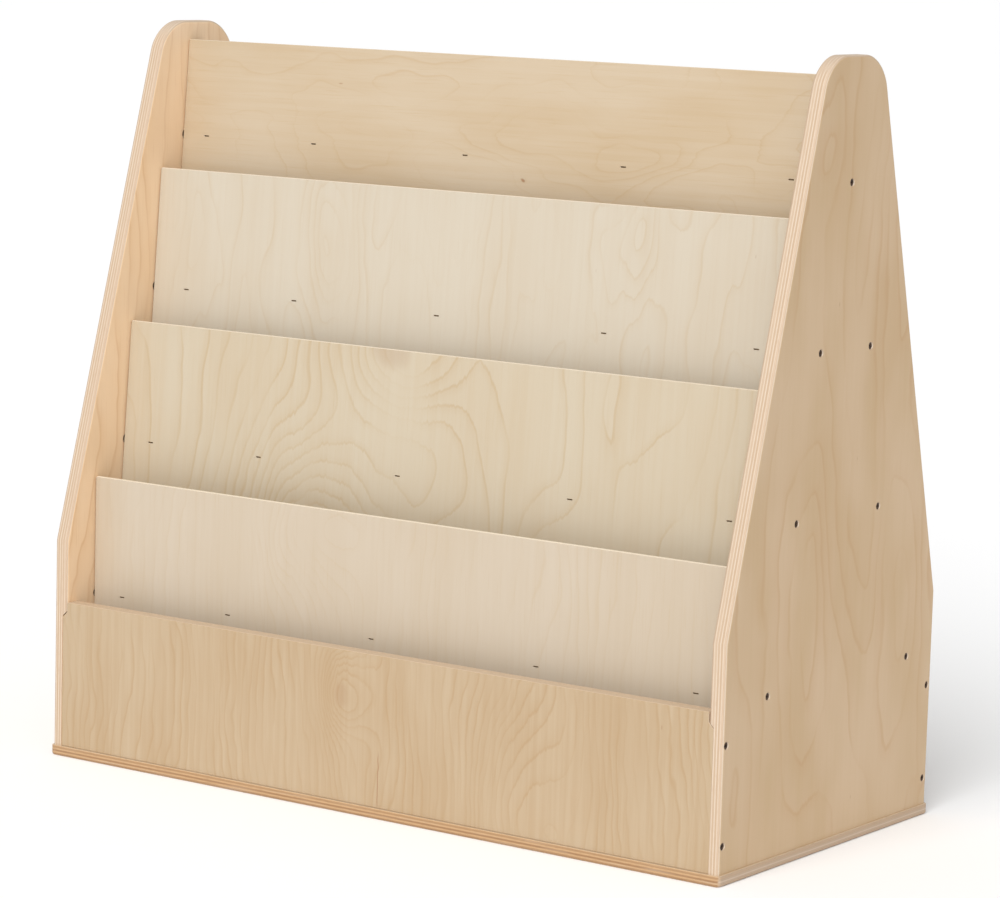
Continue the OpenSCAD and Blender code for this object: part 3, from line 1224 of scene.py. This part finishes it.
@dataclass
class Studio:
    """A plain pale floor, soft light all round, and the camera."""

    floor_size: float = 160.0
    floor_colour: str = "f9f9f9"
    sky_strength: float = 0.52
    lamps: tuple[Lamp, ...] = (
        Lamp("key", 2.5, 45.0, 14.0, 42.0),
        Lamp("fill", 0.6, 60.0, 35.0, 10.0),
    )
    camera_place: Vector = field(default_factory=lambda: Vector((2.4463, -3.4562, 0.98805)))
    camera_azimuth: float = 35.137
    camera_drop: float = 8.086
    camera_roll: float = 1.664
    lens: float = 136.28

    def build(self) -> None:
        """Lays the floor, lights it and sets the camera."""
        self._lay_floor()
        self._light()
        self._set_camera()
        bpy.context.scene.view_settings.view_transform = "Standard"

    def _lay_floor(self) -> None:
        """Lays a wide plain floor."""
        clear_bench()
        bpy.ops.mesh.primitive_plane_add(size=self.floor_size, location=(0, 0, 0))
        floor = bpy.context.active_object
        floor.name = "floor"
        r = Recipe("floor_paint")
        floor.data.materials.append(
            r.finish({"Base Color": paint(self.floor_colour), "Roughness": 0.9})
        )
        floor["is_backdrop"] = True

    def _light(self) -> None:
        """Sets an even sky and hangs the lamps."""
        world = bpy.data.worlds.new("sky")
        world.use_nodes = True
        sky = world.node_tree.nodes["Background"]
        sky.inputs["Color"].default_value = (1, 1, 1, 1)
        sky.inputs["Strength"].default_value = self.sky_strength
        bpy.context.scene.world = world
        for lamp in self.lamps:
            lamp.hang()

    def _set_camera(self) -> None:
        """Sets the camera at its place, level but for its small roll."""
        bpy.ops.object.camera_add(location=self.camera_place)
        camera = bpy.context.active_object
        camera.name = "camera"
        side, drop = math.radians(self.camera_azimuth), math.radians(self.camera_drop)
        look = Vector((
            -math.sin(side) * math.cos(drop), math.cos(side) * math.cos(drop), -math.sin(drop)
        ))
        roll = Quaternion(Z_AXIS, math.radians(self.camera_roll))
        camera.rotation_euler = (look.to_track_quat("-Z", "Y") @ roll).to_euler()
        camera.data.sensor_width = 36
        camera.data.lens = self.lens
        camera.data.clip_end = 500
        bpy.context.scene.camera = camera


# ---------------------------------------------------------------- the stand


@dataclass
class BookStand:
    """The whole stand: fasteners, boards and finishes."""

    panel_lean: float = math.radians(4)
    shelves: tuple[str, ...] = ("top_rail", "upper_shelf", "middle_shelf", "lower_shelf")
    lips: tuple[str, ...] = ("front_lip_board", "rear_lip_board")
    levels: tuple[str, ...] = ("top", "upper", "middle", "lower")

    def __post_init__(self) -> None:
        """Sorts out the sets of fasteners."""
        self.left_screws = SunkScrews("left_side_screws", X_AXIS)
        self.right_screws = SunkScrews("right_side_screws", -X_AXIS)
        self.base_screws = SunkScrews("base_screws", Z_AXIS)
        self.staples = {
            "front": Staples("front_staples", False), "rear": Staples("rear_staples", True)
        }

    def build(self) -> None:
        """Makes and dresses every piece."""
        self._sides()
        self._lips()
        self._panels()
        self._base()
        self._shelves()
        self._fasteners()

    def _sides(self) -> None:
        """Makes the two sides."""
        for node, outward, screws, finish in (
            ("left_side", -1, self.left_screws, LEFT_SIDE_BIRCH_WITH_PAINTED_BOUNCE),
            ("right_side", 1, self.right_screws, RIGHT_SIDE_BIRCH),
        ):
            side = SidePanel(node, outward, self.shelves, self.lips)
            made = side.build([screws.drill(), self.base_screws.drill()])
            material = finish.mix(middle_of(node), X_AXIS * outward, Z_AXIS)
            made.install(material, "side_birch", node)

    def _lips(self) -> None:
        """Makes the two lip boards."""
        for node, looks, finish in zip(
            self.lips, (-Y_AXIS, Y_AXIS), (LIP_BIRCH_WITH_PAINTED_TOP_SHADE, LIP_BIRCH_WITH_PAINTED_TOP_SHADE.other("rear_lip_birch", 5.0))
        ):
            bits = [s.drill() for s in (self.left_screws, self.right_screws, self.base_screws)]
            made = LipBoard(node).build(bits)
            made.install(finish.mix(middle_of(node), looks, Z_AXIS), "lip_birch", node)

    def _panels(self) -> None:
        """Makes the eight display panels."""
        finishes = (TOP_PANEL_BIRCH, UPPER_PANEL_BIRCH, MIDDLE_PANEL_BIRCH, LOWER_PANEL_BIRCH)
        for face, way in (("front", -1), ("rear", 1)):
            for level, finish in zip(self.levels, finishes):
                node = f"{face}_{level}_panel"
                panel = DisplayPanel(node, 0.0 if level == "lower" else way * self.panel_lean)
                made = panel.build([self.staples[face].dents()])
                if face == "rear":
                    finish = finish.other("rear_" + finish.name, 9.0)
                looks, up = panel.directions()
                runs = X_AXIS if finish.grain is Grain.ALONG_STAND else up
                slot = "top_panel_birch" if level == "top" else "panel_birch"
                made.install(finish.mix(middle_of(node), looks, runs), slot, node)

    def _base(self) -> None:
        """Makes the base board."""
        made = BaseBoard().build([self.base_screws.drill()])
        material = BASE_BIRCH.mix(middle_of("base_board"), Z_AXIS, X_AXIS)
        made.install(material, "base_birch", "base_board")

    def _shelves(self) -> None:
        """Dresses the rail and the shelves, which are kept as they are."""
        for i, node in enumerate(self.shelves):
            finish = SHELF_BIRCH.other(node + "_birch", 2.3 * i)
            material = finish.mix(middle_of(node), Z_AXIS, X_AXIS)
            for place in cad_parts[node].material_slots:
                place.material = material
            log.info("%s: finish shelf_birch", node)

    def _fasteners(self) -> None:
        """Makes the screws and the staples."""
        bronze, steel = SCREW_BRONZE.mix(), STAPLE_STEEL.mix()
        for screws in (self.left_screws, self.right_screws, self.base_screws):
            screws.build().install(bronze, "screw_bronze", screws.node)
        for staples in self.staples.values():
            staples.build().install(steel, "staple_steel", staples.node)


def main() -> None:
    """Builds the stand and the studio."""
    logging.basicConfig(level=logging.INFO, format="%(name)s: %(message)s")
    cad_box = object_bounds()
    BookStand().build()
    Studio().build()
    sizes = {"cad": cad_box, "visual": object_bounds()}
    {name: [list(corner) for corner in box] for name, box in sizes.items()}


if __name__ == "__main__":
    main()
